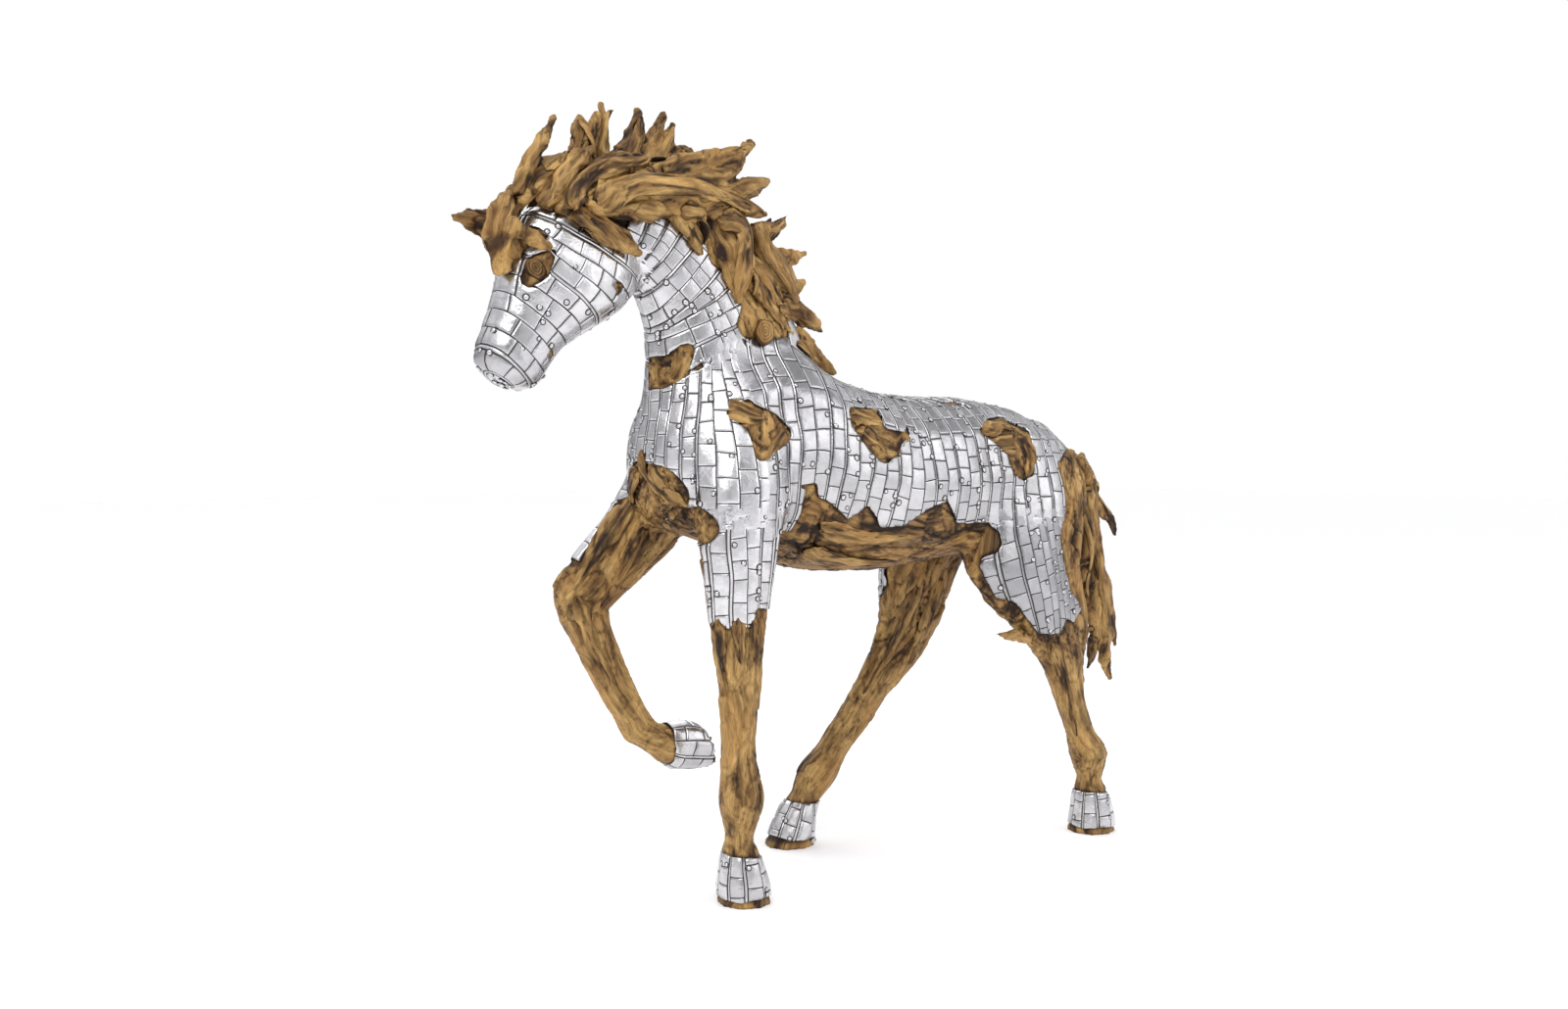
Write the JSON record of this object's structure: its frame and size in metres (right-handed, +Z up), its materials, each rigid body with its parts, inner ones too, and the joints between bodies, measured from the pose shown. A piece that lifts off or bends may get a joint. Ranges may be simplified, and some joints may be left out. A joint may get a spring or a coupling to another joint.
{
  "type": "driftwood horse sculpture",
  "caption": "Walking horse sculpture of fitted driftwood root, clad in hammered metal tile plates with torn openings, with a driftwood mane and tail and one foreleg raised.",
  "frame": {"origin": "on the ground under the middle of the horse's length and width", "axes": "+Z up from the soles; the horse faces -X; its left side is towards -Y"},
  "size_m": [2.1128, 0.5391, 1.9299],
  "materials": {
    "root_wood_body": "satin",
    "root_wood_mane": "satin",
    "root_wood_tail": "satin",
    "hammered_metal": "polished, hammered"
  },
  "bodies": {
    "root": {"wood_body": "root_wood_body", "body_plates": "hammered_metal", "ear_left": "root_wood_mane", "ear_right": "root_wood_mane", "forelock": "root_wood_mane", "head_plates": "hammered_metal", "hoof_plates_fore_left": "hammered_metal", "hoof_plates_fore_right": "hammered_metal", "hoof_plates_hind_left": "hammered_metal", "hoof_plates_hind_right": "hammered_metal", "leg_twig": "root_wood_tail", "mane_lock_01": "root_wood_mane", "mane_lock_02": "root_wood_mane", "mane_lock_03": "root_wood_mane", "mane_lock_04": "root_wood_mane", "mane_lock_05": "root_wood_mane", "mane_lock_06": "root_wood_mane", "mane_lock_07": "root_wood_mane", "mane_lock_08": "root_wood_mane", "mane_lock_09": "root_wood_mane", "mane_lock_10": "root_wood_mane", "mane_lock_11": "root_wood_mane", "mane_lock_12": "root_wood_mane", "mane_lock_13": "root_wood_mane", "mane_lock_14": "root_wood_mane", "mane_lock_15": "root_wood_mane", "mane_lock_16": "root_wood_mane", "mane_lock_17": "root_wood_mane", "mane_lock_18": "root_wood_mane", "mane_lock_right_02": "root_wood_mane", "mane_lock_right_06": "root_wood_mane", "mane_lock_right_07": "root_wood_mane", "neck_plates": "hammered_metal", "tail_hook": "root_wood_tail", "tail_lock_1": "root_wood_tail", "tail_lock_2": "root_wood_tail", "tail_log": "root_wood_tail"}
  },
  "joints": []
}
